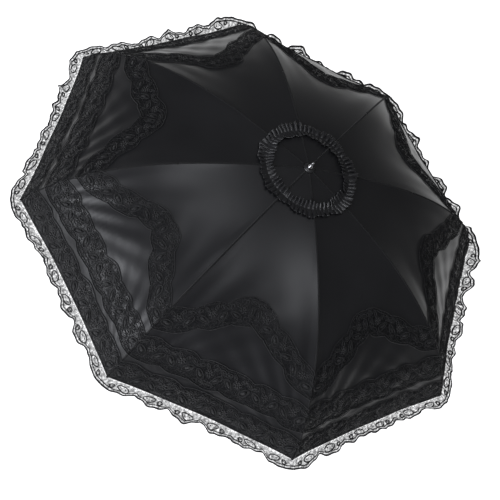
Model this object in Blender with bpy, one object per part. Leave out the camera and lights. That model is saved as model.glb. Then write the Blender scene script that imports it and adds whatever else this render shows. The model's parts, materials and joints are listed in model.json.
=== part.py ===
"""Lace parasol: an eight-rib frame on a sliding runner, with two catches and a sewn cover.

Metres, +Z up. The origin is the middle of the handle's flat end. The cover is open at rest.
Every rib works in its own upright plane: x runs out from the shaft, z up, y across the plane.
"""
import math

import bmesh
import bpy
from mathutils import Matrix, Vector

GAP = 0.0003                # between pieces that touch

# Cover: a dome whose slope grows from the crown to the hem
RIBS = 8
COVER_LENGTH = 0.560        # along a rib, from the shaft's axis to a hem corner
SLOPE_AT_CROWN = math.radians(5.0)
SLOPE_AT_HEM = math.radians(64.5)
CLOTH = 0.0008
HOLE_ROUND_SHAFT = 0.001    # the cover's hole is this much wider than the shaft, on each side
SEAM_GAP = 0.0003

# Frame
SHAFT_RADIUS = 0.005
SHAFT_WALL = 0.0008
PIVOT_OUT = 0.005           # from the shaft's side to the crown's and the runner's wire rings
PIVOT_RADIUS = SHAFT_RADIUS + PIVOT_OUT
RIB_TO_STRETCHER = 0.250    # along the cover, from the axis to the stretcher's rivet
RIB_DROP = 0.0042           # a rib's centre line lies this far inside the cover
RIB_HEIGHT = 0.0030
RIB_WALL = 0.0007
ROD_RADIUS = 0.0012
ROD_TIP_RADIUS = 0.0009
STRETCHER_HEIGHT = 0.0026
STRETCHER_WIDTH = 0.0024
FORK_DEPTH = 0.013
LINK = 0.0014               # thickness of every flattened eye
EYE_RADIUS = 0.0022
WIRE_RADIUS = 0.0006
RIVET_RADIUS = 0.0008
EYE_FLAT = 0.007            # the flattened part of a rib's or a stretcher's inner end
EYE_WALL_ON_ROD = 0.0009
RIB_CLEAR_OF_EYE = 0.010
FORK_SLOT = 0.006           # past the rivet, along the rib
CHANNEL_END = 0.003
TAB_HALF_HEIGHT = 0.0010
TAB_START, TAB_END = 0.0025, 0.009      # past the rivet, along the rod
ROD_START = 0.0036
CUT_PAST = 0.004            # cutters run this far past what they cut
CLOSED_RIB_SLOPE = math.radians(84.0)   # inner ribs when shut
CLOSED_ROD_SLOPE = math.radians(91.5)   # outer ribs when shut

# Hubs
HUB_RIM = 0.0032            # past the wire ring
HUB_RADIUS = PIVOT_RADIUS + HUB_RIM
HUB_HEIGHT_BELOW = 0.005
HUB_HEIGHT_ABOVE = 0.0024
RUNNER_SLEEVE = 0.045       # below the runner's pivots
RUNNER_WALL = 0.0020
RUNNER_RADIUS = SHAFT_RADIUS + RUNNER_WALL
FLANGE_RIM = 0.0025
RUNNER_FLANGE_RADIUS = RUNNER_RADIUS + FLANGE_RIM
RUNNER_FLANGE = 0.003

# Catches
CATCH_THICK = 0.0012
CATCH_REACH = 0.0028        # stands this far out of the shaft
CATCH_HEIGHT = 0.016
CATCH_SPINE = 0.0033
CATCH_LEDGE = 0.004         # how far the spine runs past the nose at each end

# Handle and top
GRIP_LENGTH = 0.150
GRIP_RADIUS = 0.0125
GRIP_BORE_FLOOR = 0.020
COLLAR_LENGTH = 0.013
COLLAR_WALL = 0.0046
COLLAR_RADIUS = SHAFT_RADIUS + COLLAR_WALL
SHUT_SPACE = 0.025          # from the collar up to the runner when shut
CAP_RIM = 0.0060
CAP_RADIUS = SHAFT_RADIUS + CAP_RIM
CAP_HEIGHT = 0.0026
FERRULE_LENGTH = 0.016
FERRULE_RIM = 0.0010
FERRULE_RADIUS = SHAFT_RADIUS + FERRULE_RIM
FERRULE_TIP = 0.0026
SPIGOT_LENGTH = 0.014
TIP_WALL = 0.0010
TIP_RADIUS = ROD_TIP_RADIUS + GAP + TIP_WALL
TIP_LENGTH = 0.015
TIP_BALL = 0.0027
TIP_PAST_HEM = 0.005
TIP_BORE_DEPTH = 0.0085
ROD_IN_TIP = 0.008
TIP_S = COVER_LENGTH - TIP_LENGTH + TIP_PAST_HEM

# Trims
RUFFLE_INNER = 0.066
RUFFLE_OUTER = 0.104
RUFFLE_RISE = 0.010
LACE_DEPTH = 0.050
LACE_PAST_HEM = 0.016
LACE_THICK = 0.0008
LACE_CORNER_GAP = 0.0015

SECTOR = 2 * math.pi / RIBS
FIRST_RIB = SECTOR / 2
CURVE_STEPS = 560
EYE_STEPS = 7


# ---------------------------------------------------------------- the cover's curve
def slope_at(s):
    """The cover's slope below level, s metres out along a rib."""
    share = min(s / COVER_LENGTH, 1.0)
    return SLOPE_AT_CROWN + (SLOPE_AT_HEM - SLOPE_AT_CROWN) * share**2


def dome_point(s, lift=0.0):
    """Distance from the axis and height above the apex, lift metres out of the cover."""
    step = COVER_LENGTH / CURVE_STEPS
    whole = int(s / step)
    r = z = 0.0
    for i in range(whole):
        angle = slope_at((i + 0.5) * step)
        r += step * math.cos(angle)
        z -= step * math.sin(angle)
    rest = s - whole * step
    angle = slope_at(s - rest / 2)
    r += rest * math.cos(angle)
    z -= rest * math.sin(angle)
    return r + lift * math.sin(slope_at(s)), z + lift * math.cos(slope_at(s))


# ---------------------------------------------------------------- the linkage, worked out once
PIVOT_BELOW_APEX = RIB_DROP - dome_point(PIVOT_RADIUS)[1]
JOINT_R, JOINT_Z = dome_point(RIB_TO_STRETCHER, -RIB_DROP)
LINK_RUN = JOINT_R - PIVOT_RADIUS
LINK_FALL = -PIVOT_BELOW_APEX - JOINT_Z
LINK_LENGTH = math.hypot(LINK_RUN, LINK_FALL)
OPEN_RIB_SLOPE = math.atan2(LINK_FALL, LINK_RUN)
ROD_END_R, ROD_END_Z = dome_point(COVER_LENGTH, -RIB_DROP)
OPEN_ROD_SLOPE = math.atan2(JOINT_Z - ROD_END_Z, ROD_END_R - JOINT_R)
FOLD = CLOSED_RIB_SLOPE - OPEN_RIB_SLOPE
ROD_RATIO = (CLOSED_ROD_SLOPE - OPEN_ROD_SLOPE) / FOLD - 1.0
RUNNER_DROP_OPEN = 2 * LINK_LENGTH * math.sin(OPEN_RIB_SLOPE)
RUNNER_DROP_SHUT = 2 * LINK_LENGTH * math.sin(CLOSED_RIB_SLOPE)

GRIP_TOP = GRIP_LENGTH
COLLAR_TOP = GRIP_TOP + GAP + COLLAR_LENGTH
CROWN_Z = COLLAR_TOP + SHUT_SPACE + RUNNER_SLEEVE + RUNNER_DROP_SHUT
APEX_Z = CROWN_Z + PIVOT_BELOW_APEX
RUNNER_Z = CROWN_Z - RUNNER_DROP_OPEN
SHAFT_TOP = APEX_Z + GAP + CAP_HEIGHT
TOP_CATCH_Z = RUNNER_Z - RUNNER_SLEEVE - CATCH_HEIGHT / 2 - 2 * GAP
BOTTOM_CATCH_Z = CROWN_Z - RUNNER_DROP_SHUT - RUNNER_SLEEVE / 2


# ---------------------------------------------------------------- small tools
def clear_scene():
    for old in list(bpy.data.objects):
        bpy.data.objects.remove(old, do_unlink=True)


def finish(name, colour, roughness, metallic=0.0):
    """A Principled finish for one kind of piece."""
    made = bpy.data.materials.new(name)
    made.use_nodes = True
    shader = made.node_tree.nodes["Principled BSDF"]
    shader.inputs["Base Color"].default_value = (*colour, 1.0)
    shader.inputs["Roughness"].default_value = roughness
    shader.inputs["Metallic"].default_value = metallic
    return made


def to_mesh(name, bm):
    bmesh.ops.recalc_face_normals(bm, faces=bm.faces)
    mesh = bpy.data.meshes.new(name)
    bm.to_mesh(mesh)
    bm.free()
    return mesh


def place(name, mesh, material, parent=None, location=(0, 0, 0), turn=0.0, pitch=0.0):
    """An object at a place under its parent, turned about Z and then pitched about its own Y."""
    piece = bpy.data.objects.new(name, mesh)
    piece.data.materials.clear()
    piece.data.materials.append(material)
    bpy.context.collection.objects.link(piece)
    piece.parent = parent
    piece.location = location
    piece.rotation_euler = (0.0, pitch, turn)
    return piece


def empty(name, location, turn=0.0, parent=None):
    marker = bpy.data.objects.new(name, None)
    marker.empty_display_size = 0.01
    marker.location = location
    marker.rotation_euler = (0.0, 0.0, turn)
    marker.parent = parent
    bpy.context.collection.objects.link(marker)
    return marker


def combined(base, others, operation):
    """The base mesh with the other meshes cut from it or joined to it, one after another."""
    body = bpy.data.objects.new("body", base)
    bpy.context.collection.objects.link(body)
    helpers = []
    for i, other in enumerate(others):
        helper = bpy.data.objects.new(f"helper_{i}", other)
        helper.hide_render = True
        helper.display_type = "WIRE"
        bpy.context.collection.objects.link(helper)
        helpers.append(helper)
        step = body.modifiers.new(f"step_{i}", "BOOLEAN")
        step.operation = operation
        step.solver = "EXACT"
        step.object = helper
    bpy.context.view_layer.update()
    seen = body.evaluated_get(bpy.context.evaluated_depsgraph_get())
    result = bpy.data.meshes.new_from_object(seen)
    for used in [body, *helpers]:
        bpy.data.objects.remove(used, do_unlink=True)
    return result


def prism(name, outline, half_width, middle=0.0):
    """An outline of (x, z) points carried across y, half_width each side of middle."""
    bm = bmesh.new()
    front = bm.faces.new([bm.verts.new((x, middle - half_width, z)) for x, z in outline])
    grown = bmesh.ops.extrude_face_region(bm, geom=[front])
    moved = [v for v in grown["geom"] if isinstance(v, bmesh.types.BMVert)]
    bmesh.ops.translate(bm, verts=moved, vec=(0.0, 2 * half_width, 0.0))
    return to_mesh(name, bm)


def block(name, low, high):
    """A box between two corners."""
    (x0, y0, z0), (x1, y1, z1) = low, high
    return prism(name, [(x0, z0), (x1, z0), (x1, z1), (x0, z1)], (y1 - y0) / 2, (y0 + y1) / 2)


def pin(name, x, z, radius, half_width, sides=10):
    """A round pin across the plane."""
    ring = [2 * math.pi * i / sides for i in range(sides)]
    return prism(name, [(x + radius * math.cos(a), z + radius * math.sin(a)) for a in ring], half_width)


def turned(name, profile, sides, closed):
    """A profile of (radius, height) points turned about Z; an open one ends on the axis."""
    bm = bmesh.new()
    points = [bm.verts.new((r, 0.0, z)) for r, z in profile]
    count = len(points) if closed else len(points) - 1
    for i in range(count):
        bm.edges.new((points[i], points[(i + 1) % len(points)]))
    bmesh.ops.spin(bm, geom=bm.verts[:] + bm.edges[:], cent=(0, 0, 0), axis=(0, 0, 1),
                   angle=2 * math.pi, steps=sides, use_merge=True)
    bmesh.ops.remove_doubles(bm, verts=bm.verts, dist=1e-7)
    return to_mesh(name, bm)


def arc(x, z, radius, start, end, steps):
    """Points round a centre, angles in degrees from +x towards +z."""
    angles = [math.radians(start + (end - start) * i / steps) for i in range(steps + 1)]
    return [(x + radius * math.cos(a), z + radius * math.sin(a)) for a in angles]


def slab(name, point, rows, columns, under, over):
    """A sheet solid: point(i, j, lift) gives its two faces at lifts under and over."""
    bm = bmesh.new()
    sides = []
    for lift in (under, over):
        sides.append([[bm.verts.new(point(i, j, lift)) for j in range(columns + 1)]
                      for i in range(rows + 1)])
    for grid in sides:
        for i in range(rows):
            for j in range(columns):
                bm.faces.new((grid[i][j], grid[i + 1][j], grid[i + 1][j + 1], grid[i][j + 1]))
    low, high = sides
    rim = [(i, 0) for i in range(rows)] + [(rows, j) for j in range(columns)]
    rim += [(i, columns) for i in range(rows, 0, -1)] + [(0, j) for j in range(columns, 0, -1)]
    for (i, j), (k, m) in zip(rim, rim[1:] + rim[:1]):
        bm.faces.new((low[i][j], low[k][m], high[k][m], high[i][j]))
    bmesh.ops.triangulate(bm, faces=bm.faces)
    return to_mesh(name, bm)


# ---------------------------------------------------------------- ribs, rods, stretchers
def in_rib_plane(s, lift):
    """A point of the cover's curve, seen from the crown's pivot."""
    r, z = dome_point(s, lift)
    return r - PIVOT_RADIUS, z + PIVOT_BELOW_APEX


def rib_mesh():
    """Channel-section rib: an eye at the crown, and a fork round the rivet."""
    joint = (LINK_RUN, -LINK_FALL)
    steps = 6
    first, last = PIVOT_RADIUS + RIB_CLEAR_OF_EYE, RIB_TO_STRETCHER - CHANNEL_END
    along = [first + (last - first) * i / steps for i in range(steps + 1)]
    upper = [in_rib_plane(s, -RIB_DROP + RIB_HEIGHT / 2) for s in along]
    lower = [in_rib_plane(s, -RIB_DROP - RIB_HEIGHT / 2) for s in along]
    lean = math.degrees(slope_at(RIB_TO_STRETCHER))
    outline = arc(0, 0, EYE_RADIUS, 310, 50, EYE_STEPS) + upper
    outline += arc(*joint, EYE_RADIUS, 125 - lean, -125 - lean, EYE_STEPS) + lower[::-1]
    half = LINK / 2 + GAP + RIB_WALL
    bar = prism("rib", outline, half)
    inside = [in_rib_plane(s, -RIB_DROP + RIB_HEIGHT / 2 - RIB_WALL) for s in along[:-1]]
    slot_end, top = LINK_RUN + FORK_SLOT, CUT_PAST
    channel = [(inside[0][0], -LINK_FALL - 0.010)] + inside
    channel += [(inside[-1][0] + 0.0002, top), (slot_end, top), (slot_end, -LINK_FALL - 0.010)]
    cuts = [prism("channel", channel, LINK / 2 + GAP)]
    for side in (-1, 1):
        middle = side * (LINK / 2 + 0.002)
        flat = [(-CUT_PAST, -CUT_PAST), (EYE_FLAT, -CUT_PAST), (EYE_FLAT, CUT_PAST), (-CUT_PAST, CUT_PAST)]
        cuts.append(prism("flat", flat, 0.002, middle))
    cuts.append(pin("wire_hole", 0, 0, WIRE_RADIUS + GAP, CUT_PAST))
    cuts.append(pin("rivet_hole", *joint, RIVET_RADIUS + GAP, CUT_PAST))
    return combined(bar, cuts, "DIFFERENCE")


def rod_mesh():
    """Round outer rib: a flat eye on the rivet, then a tapering rod out to the hem."""
    def seen(s, lift=0.0):
        x, z = in_rib_plane(s, -RIB_DROP + lift)
        return x - LINK_RUN, z + LINK_FALL

    lean = math.degrees(slope_at(RIB_TO_STRETCHER))
    eye = RIVET_RADIUS + GAP + EYE_WALL_ON_ROD
    tab_ends = (RIB_TO_STRETCHER + TAB_START, RIB_TO_STRETCHER + TAB_END)
    tab = arc(0, 0, eye, 320 - lean, 40 - lean, EYE_STEPS)
    tab += [seen(s, TAB_HALF_HEIGHT) for s in tab_ends]
    tab += [seen(s, -TAB_HALF_HEIGHT) for s in reversed(tab_ends)]
    tab_piece = prism("tab", tab, LINK / 2)
    steps, sides = 10, 6
    first = RIB_TO_STRETCHER + ROD_START
    bm = bmesh.new()
    rings = []
    for i in range(steps + 1):
        # the last ring stands straight on from the one before, inside the tip's bore
        s = first + (TIP_S - first) * min(i, steps - 1) / (steps - 1)
        x, z = seen(s)
        angle = slope_at(s)
        if i == steps:
            x, z = x + ROD_IN_TIP * math.cos(angle), z - ROD_IN_TIP * math.sin(angle)
        radius = ROD_RADIUS + (ROD_TIP_RADIUS - ROD_RADIUS) * min(i / (steps - 1), 1)
        ring = []
        for j in range(sides):
            around = 2 * math.pi * (j + 0.5) / sides
            up, across = radius * math.sin(around), radius * math.cos(around)
            ring.append(bm.verts.new((x + up * math.sin(angle), across, z + up * math.cos(angle))))
        rings.append(ring)
    for near, far in zip(rings, rings[1:]):
        for j in range(sides):
            k = (j + 1) % sides
            bm.faces.new((near[j], near[k], far[k], far[j]))
    bm.faces.new(rings[0])
    bm.faces.new(rings[-1])
    whole = combined(to_mesh("rod", bm), [tab_piece], "UNION")
    return combined(whole, [pin("rivet_hole", 0, 0, RIVET_RADIUS + GAP, CUT_PAST)], "DIFFERENCE")


def stretcher_mesh():
    """Straight stretcher along x from the runner's pivot at -LINK_LENGTH to its rivet at 0."""
    h = STRETCHER_HEIGHT / 2
    inner = -LINK_LENGTH
    half = LINK / 2 + 2 * (RIB_WALL + GAP) + 0.0002
    fork_half = half - RIB_WALL
    outline = arc(inner, 0, EYE_RADIUS, 325, 35, EYE_STEPS)
    outline += arc(0, 0, EYE_RADIUS, 145, -145, EYE_STEPS)
    bar = prism("stretcher", outline, half)
    cuts = [block("slot", (-FORK_DEPTH, -fork_half, -CUT_PAST), (CUT_PAST, fork_half, CUT_PAST))]
    for side in (-1, 1):
        waist = (side * (STRETCHER_WIDTH / 2), side * 0.006)
        eye = (side * (LINK / 2), side * 0.006)
        cuts.append(block("waist", (inner - CUT_PAST, min(waist), -CUT_PAST),
                          (-FORK_DEPTH - CUT_PAST, max(waist), CUT_PAST)))
        cuts.append(block("eye", (inner - CUT_PAST, min(eye), -CUT_PAST),
                          (inner + EYE_FLAT, max(eye), CUT_PAST)))
    for sign in (-1, 1):
        edge = (sign * h, sign * 0.006)
        cuts.append(block("depth", (inner + 0.006, -0.006, min(edge)), (-CUT_PAST, 0.006, max(edge))))
    cuts.append(pin("wire_hole", inner, 0, WIRE_RADIUS + GAP, CUT_PAST))
    forked = combined(bar, cuts, "DIFFERENCE")
    return combined(forked, [pin("rivet", 0, 0, RIVET_RADIUS, half + 0.0004)], "UNION")


def tip_mesh():
    """Turned tip with a blind bore for the rod, along +z, its mouth at 0."""
    bore, depth = ROD_TIP_RADIUS + GAP, TIP_BORE_DEPTH
    neck = TIP_LENGTH - 2 * TIP_BALL
    ball = [(r, z) for r, z in arc(0, TIP_LENGTH - TIP_BALL, TIP_BALL, -50, 90, 5)][:-1]
    profile = [(0, depth), (bore, depth), (bore, 0), (TIP_RADIUS, 0), (TIP_RADIUS * 0.8, neck)]
    profile += ball + [(0, TIP_LENGTH)]
    return turned("rib_tip", profile, 8, False)


# ---------------------------------------------------------------- hubs, shaft, catches
def ring_slots(radius_in, low, high, count=RIBS):
    """Radial slots for the eyes, one in each rib plane."""
    half = LINK / 2 + GAP
    slots = []
    for i in range(count):
        slot = block("slot", (radius_in, -half, low), (HUB_RADIUS + 0.003, half, high))
        slot.transform(Matrix.Rotation(FIRST_RIB + i * SECTOR, 4, "Z"))
        slots.append(slot)
    return slots


def hub_profile(bore, low, sleeve=None):
    """The hub's section with its wire groove; a sleeve and flange hang below the runner."""
    groove = WIRE_RADIUS + GAP
    top = HUB_HEIGHT_ABOVE
    points = [(bore, top), (bore, low)]
    if sleeve:
        flange = low + RUNNER_FLANGE
        points += [(RUNNER_FLANGE_RADIUS, low), (RUNNER_FLANGE_RADIUS, flange),
                   (RUNNER_RADIUS, flange + 0.0015), (RUNNER_RADIUS, -HUB_HEIGHT_BELOW - 0.003)]
    points += [(HUB_RADIUS, -HUB_HEIGHT_BELOW), (HUB_RADIUS, top)]
    points += [(PIVOT_RADIUS + groove, top), (PIVOT_RADIUS + groove, -groove)]
    points += [(PIVOT_RADIUS - groove, -groove), (PIVOT_RADIUS - groove, top)]
    return points


def crown_mesh():
    """Fixed hub at the shaft's top, its slots open downwards for the folding ribs."""
    body = turned("crown", hub_profile(SHAFT_RADIUS + GAP, -HUB_HEIGHT_BELOW), 32, True)
    inner = PIVOT_RADIUS - EYE_RADIUS - GAP
    return combined(body, ring_slots(inner, -HUB_HEIGHT_BELOW - 0.001, HUB_HEIGHT_ABOVE + 0.001),
                    "DIFFERENCE")


def runner_mesh():
    """Sliding hub: slots open upwards, and a keyway that clears both catches."""
    body = turned("runner", hub_profile(SHAFT_RADIUS + GAP, -RUNNER_SLEEVE, True), 32, True)
    inner = PIVOT_RADIUS - EYE_RADIUS - GAP
    cuts = ring_slots(inner, -EYE_RADIUS - GAP, HUB_HEIGHT_ABOVE + 0.001)
    half = CATCH_THICK / 2 + GAP
    cuts.append(block("keyway", (SHAFT_RADIUS - 0.001, -half, -RUNNER_SLEEVE - 0.001),
                      (SHAFT_RADIUS + CATCH_REACH + GAP, half, HUB_HEIGHT_ABOVE + 0.001)))
    return combined(body, cuts, "DIFFERENCE")


def wire_mesh():
    """Closed wire ring that threads the eyes."""
    section = arc(PIVOT_RADIUS, 0, WIRE_RADIUS, 0, 300, 5)
    return turned("wire", section, 32, True)


def shaft_mesh():
    """Steel tube with a slot for each catch."""
    bore = SHAFT_RADIUS - SHAFT_WALL
    bottom = GRIP_BORE_FLOOR + GAP
    tube = turned("shaft", [(bore, SHAFT_TOP), (bore, bottom), (SHAFT_RADIUS, bottom),
                            (SHAFT_RADIUS, SHAFT_TOP)], 24, True)
    half, tall = CATCH_THICK / 2 + GAP, CATCH_HEIGHT / 2 + GAP
    cuts = [block("slot", (bore - 0.002, -half, z - tall), (SHAFT_RADIUS + 0.001, half, z + tall))
            for z in (TOP_CATCH_Z, BOTTOM_CATCH_Z)]
    return combined(tube, cuts, "DIFFERENCE")


def catch_mesh(flat_side):
    """Blade with a spine inside the tube; its nose is square on the flat side, +1 up or -1 down."""
    outer = SHAFT_RADIUS - SHAFT_WALL - 0.0004
    inner = outer - CATCH_SPINE
    nose = SHAFT_RADIUS + CATCH_REACH
    tall = CATCH_HEIGHT / 2
    ends = tall + CATCH_LEDGE
    outline = [(inner, -ends), (outer, -ends), (outer, -tall), (SHAFT_RADIUS, -tall),
               (nose, tall - 0.003), (nose, tall), (outer, tall), (outer, ends), (inner, ends)]
    return prism("catch", [(x, z * flat_side) for x, z in outline], CATCH_THICK / 2)


# ---------------------------------------------------------------- handle and top pieces
def grip_mesh():
    bore = SHAFT_RADIUS + GAP
    profile = [(0, 0), (GRIP_RADIUS - 0.0020, 0), (GRIP_RADIUS - 0.0006, 0.0008),
               (GRIP_RADIUS, 0.0025), (GRIP_RADIUS, 0.018), (GRIP_RADIUS - 0.0015, 0.045),
               (GRIP_RADIUS - 0.0025, 0.085), (GRIP_RADIUS - 0.0022, 0.120),
               (GRIP_RADIUS - 0.0030, GRIP_LENGTH - 0.004), (GRIP_RADIUS - 0.0042, GRIP_LENGTH),
               (bore, GRIP_LENGTH), (bore, GRIP_BORE_FLOOR), (0, GRIP_BORE_FLOOR)]
    return turned("handle_grip", profile, 24, False)


def collar_mesh():
    bore = SHAFT_RADIUS + GAP
    edge = 0.0012
    profile = [(bore, 0), (COLLAR_RADIUS - edge, 0), (COLLAR_RADIUS, edge),
               (COLLAR_RADIUS, COLLAR_LENGTH * 0.6), (COLLAR_RADIUS - 2 * edge, COLLAR_LENGTH),
               (bore, COLLAR_LENGTH)]
    return turned("handle_collar", profile[::-1], 24, True)


def cap_mesh():
    bore = SHAFT_RADIUS + GAP
    profile = [(bore, CAP_HEIGHT), (bore, 0), (CAP_RADIUS, -CAP_RADIUS * math.tan(SLOPE_AT_CROWN)),
               (CAP_RADIUS, 0.0004), (CAP_RADIUS * 0.8, CAP_HEIGHT * 0.75),
               (FERRULE_RADIUS, CAP_HEIGHT)]
    return turned("canopy_cap", profile, 24, True)


def ferrule_mesh():
    """Solid point with a spigot that plugs the tube."""
    spigot = SHAFT_RADIUS - SHAFT_WALL - GAP
    top = FERRULE_LENGTH - FERRULE_TIP
    profile = [(0, -SPIGOT_LENGTH), (spigot, -SPIGOT_LENGTH), (spigot, 0), (FERRULE_RADIUS, 0),
               (FERRULE_RADIUS, 0.0035), (FERRULE_RADIUS * 0.72, 0.0050)]
    profile += arc(0, top, FERRULE_TIP, 0, 90, 5)[:-1] + [(0, FERRULE_LENGTH)]
    return turned("ferrule", profile, 16, False)


# ---------------------------------------------------------------- cover and trims
def gore_point(s, share, lift):
    """A point of the gore from one rib plane (share 0) to the next (1), from the crown's pivot."""
    r, z = dome_point(s, lift)
    near = Vector((r, 0.0, z))
    far = Vector((r * math.cos(SECTOR), r * math.sin(SECTOR), z))
    return near.lerp(far, share) + Vector((-PIVOT_RADIUS, 0.0, PIVOT_BELOW_APEX))


def inset_share(s, share, gap):
    """Moves a share in from the seams by gap metres."""
    width = 2 * dome_point(s)[0] * math.sin(SECTOR / 2)
    edge = gap / width
    return edge + (1 - 2 * edge) * share


def panel_mesh():
    rows, columns = 12, 4
    hole = SHAFT_RADIUS + HOLE_ROUND_SHAFT

    def point(i, j, lift):
        s = hole + (COVER_LENGTH - hole) * i / rows
        return gore_point(s, inset_share(s, j / columns, SEAM_GAP / 2), lift)

    return slab("canopy_panel", point, rows, columns, -CLOTH, 0.0)


def lace_mesh():
    rows, columns = 3, 6

    def point(i, j, lift):
        s = COVER_LENGTH + LACE_PAST_HEM - LACE_DEPTH * (1 - i / rows)
        return gore_point(s, inset_share(s, j / columns, LACE_CORNER_GAP), lift)

    return slab("hem_lace", point, rows, columns, GAP, GAP + LACE_THICK)


def ruffle_mesh():
    """Gathered ring on the cover round the crown, a plain rounded section."""
    middle = (RUFFLE_INNER + RUFFLE_OUTER) / 2
    low = [dome_point(s, 2 * GAP) for s in (RUFFLE_INNER, middle, RUFFLE_OUTER)]
    high = [dome_point(s, RUFFLE_RISE * share) for s, share in
            ((RUFFLE_OUTER, 0.75), (middle + 0.010, 1.0), (middle - 0.010, 1.0), (RUFFLE_INNER, 0.75))]
    return turned("crown_ruffle", low + high, 32, True)


# ---------------------------------------------------------------- assembly
def build_parasol():
    clear_scene()
    steel = finish("frame_steel", (0.36, 0.36, 0.38), 0.30, 0.9)
    black_plastic = finish("black_plastic", (0.02, 0.02, 0.022), 0.35)
    rod_glass = finish("rod_fibreglass", (0.03, 0.03, 0.03), 0.40)
    satin = finish("satin_cloth", (0.030, 0.030, 0.034), 0.45)
    lace = finish("lace_thread", (0.018, 0.017, 0.022), 0.80)
    wood = finish("handle_lacquer", (0.020, 0.018, 0.018), 0.25)
    bright = finish("bright_metal", (0.62, 0.62, 0.64), 0.18, 1.0)

    place("shaft", shaft_mesh(), steel)
    place("handle_grip", grip_mesh(), wood)
    place("handle_collar", collar_mesh(), bright, location=(0, 0, GRIP_TOP + GAP))
    place("crown", crown_mesh(), black_plastic, location=(0, 0, CROWN_Z))
    place("crown_wire", wire_mesh(), steel, location=(0, 0, CROWN_Z))
    place("canopy_cap", cap_mesh(), black_plastic, location=(0, 0, APEX_Z + GAP))
    place("ferrule", ferrule_mesh(), bright, location=(0, 0, SHAFT_TOP + GAP))
    place("crown_ruffle", ruffle_mesh(), satin, location=(0, 0, APEX_Z))

    runner_home = empty("runner_home", (0, 0, RUNNER_Z))
    place("runner", runner_mesh(), black_plastic, runner_home)
    place("runner_wire", wire_mesh(), steel, runner_home)
    place("top_catch", catch_mesh(1), steel, location=(0, 0, TOP_CATCH_Z))
    place("bottom_catch", catch_mesh(-1), steel, location=(0, 0, BOTTOM_CATCH_Z))

    rib, rod, stretcher, tip = rib_mesh(), rod_mesh(), stretcher_mesh(), tip_mesh()
    panel, trim = panel_mesh(), lace_mesh()
    tip_x, tip_z = in_rib_plane(TIP_S, -RIB_DROP)
    for i in range(RIBS):
        turn = FIRST_RIB + i * SECTOR
        where = (PIVOT_RADIUS * math.cos(turn), PIVOT_RADIUS * math.sin(turn), CROWN_Z)
        pivot = empty(f"crown_pivot_{i + 1}", where, turn)
        joint = empty(f"rib_joint_{i + 1}", (LINK_RUN, 0.0, -LINK_FALL), 0.0, pivot)
        place(f"rib_{i + 1}", rib, steel, pivot)
        place(f"canopy_panel_{i + 1}", panel, satin, pivot)
        place(f"rod_{i + 1}", rod, rod_glass, joint)
        place(f"stretcher_{i + 1}", stretcher, steel, joint, pitch=-OPEN_RIB_SLOPE)
        tip_from_joint = (tip_x - LINK_RUN, 0.0, tip_z + LINK_FALL)
        place(f"rib_tip_{i + 1}", tip, bright, joint, tip_from_joint,
              pitch=math.pi / 2 + slope_at(TIP_S))
        place(f"hem_lace_{i + 1}", trim, lace, joint, (-LINK_RUN, 0.0, LINK_FALL))


build_parasol()
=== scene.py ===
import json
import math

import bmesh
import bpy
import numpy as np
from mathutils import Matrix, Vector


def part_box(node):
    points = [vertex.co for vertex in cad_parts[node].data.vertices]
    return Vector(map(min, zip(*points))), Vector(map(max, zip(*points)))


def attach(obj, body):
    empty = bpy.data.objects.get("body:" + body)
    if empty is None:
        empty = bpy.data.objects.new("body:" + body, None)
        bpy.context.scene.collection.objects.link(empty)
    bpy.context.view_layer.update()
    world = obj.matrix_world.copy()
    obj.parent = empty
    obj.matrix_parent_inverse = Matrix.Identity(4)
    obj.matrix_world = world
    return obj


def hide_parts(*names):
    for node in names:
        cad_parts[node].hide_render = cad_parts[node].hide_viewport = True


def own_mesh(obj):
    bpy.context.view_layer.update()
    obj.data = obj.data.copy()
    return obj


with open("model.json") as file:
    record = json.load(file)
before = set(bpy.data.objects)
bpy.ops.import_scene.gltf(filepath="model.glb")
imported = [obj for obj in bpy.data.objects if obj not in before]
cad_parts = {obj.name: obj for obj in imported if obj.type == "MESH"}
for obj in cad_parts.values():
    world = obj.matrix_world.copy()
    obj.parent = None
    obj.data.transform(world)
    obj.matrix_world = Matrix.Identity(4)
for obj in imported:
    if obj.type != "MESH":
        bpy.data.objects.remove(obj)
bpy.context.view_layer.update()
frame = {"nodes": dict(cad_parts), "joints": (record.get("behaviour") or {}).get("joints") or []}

# Looks for the lace parasol: satin cover, three lace trims, gathered crown ring, frame finishes.
#
# Metres, +Z up along the shaft. The soft pieces are set out in the cover's own two directions and
# then put on it. A petal is the cloth sewn to one rib, out to the middles of the gores beside it.
# On the cover a point has s, its distance out from the shaft's axis along a rib, and w, its place
# across a petal: 0 on the rib's seam, -1 and 1 on the middle lines of the gores either side.

# ---------------------------------------------------------------- the frame's own places
RIBS = 8
SECTOR = 2 * math.pi / RIBS
FIRST_RIB = SECTOR / 2
COVER_LENGTH = 0.560
SLOPE_AT_CROWN, SLOPE_AT_HEM = math.radians(5.0), math.radians(64.5)
COVER_HOLE = 0.006
JOINTS = {j["name"]: j for j in frame["joints"]}
CROWN = np.array(JOINTS["canopy_fold"]["pos_m"])
RIVET = np.array(JOINTS["stretcher_1_swing"]["pos_m"])
RIVET_RADIUS_OUT = math.hypot(RIVET[0], RIVET[1])

# The cover
CLOTH = 0.0005
SAG = 0.005                 # how far the cloth dips between ribs
HEM_DIP = 0.004             # how far the hem pulls in between corners
FAN_DEPTH, WAVE_DEPTH, SLANT_DEPTH = 0.0005, 0.0006, 0.0005   # of the cloth's small folds
FLARE, FLARE_LEAN = math.radians(1), math.radians(21)   # the lace's slope past the hem
FLARE_LOW, FLARE_WAVE = math.radians(-25), math.radians(18)
PETAL_KEEP, CROWN_KEEP = 0.150, 0.230   # share of its width a petal would keep when shut; sew reads it but narrows nothing
RUFFLE_KEEP = 0.26

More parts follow.
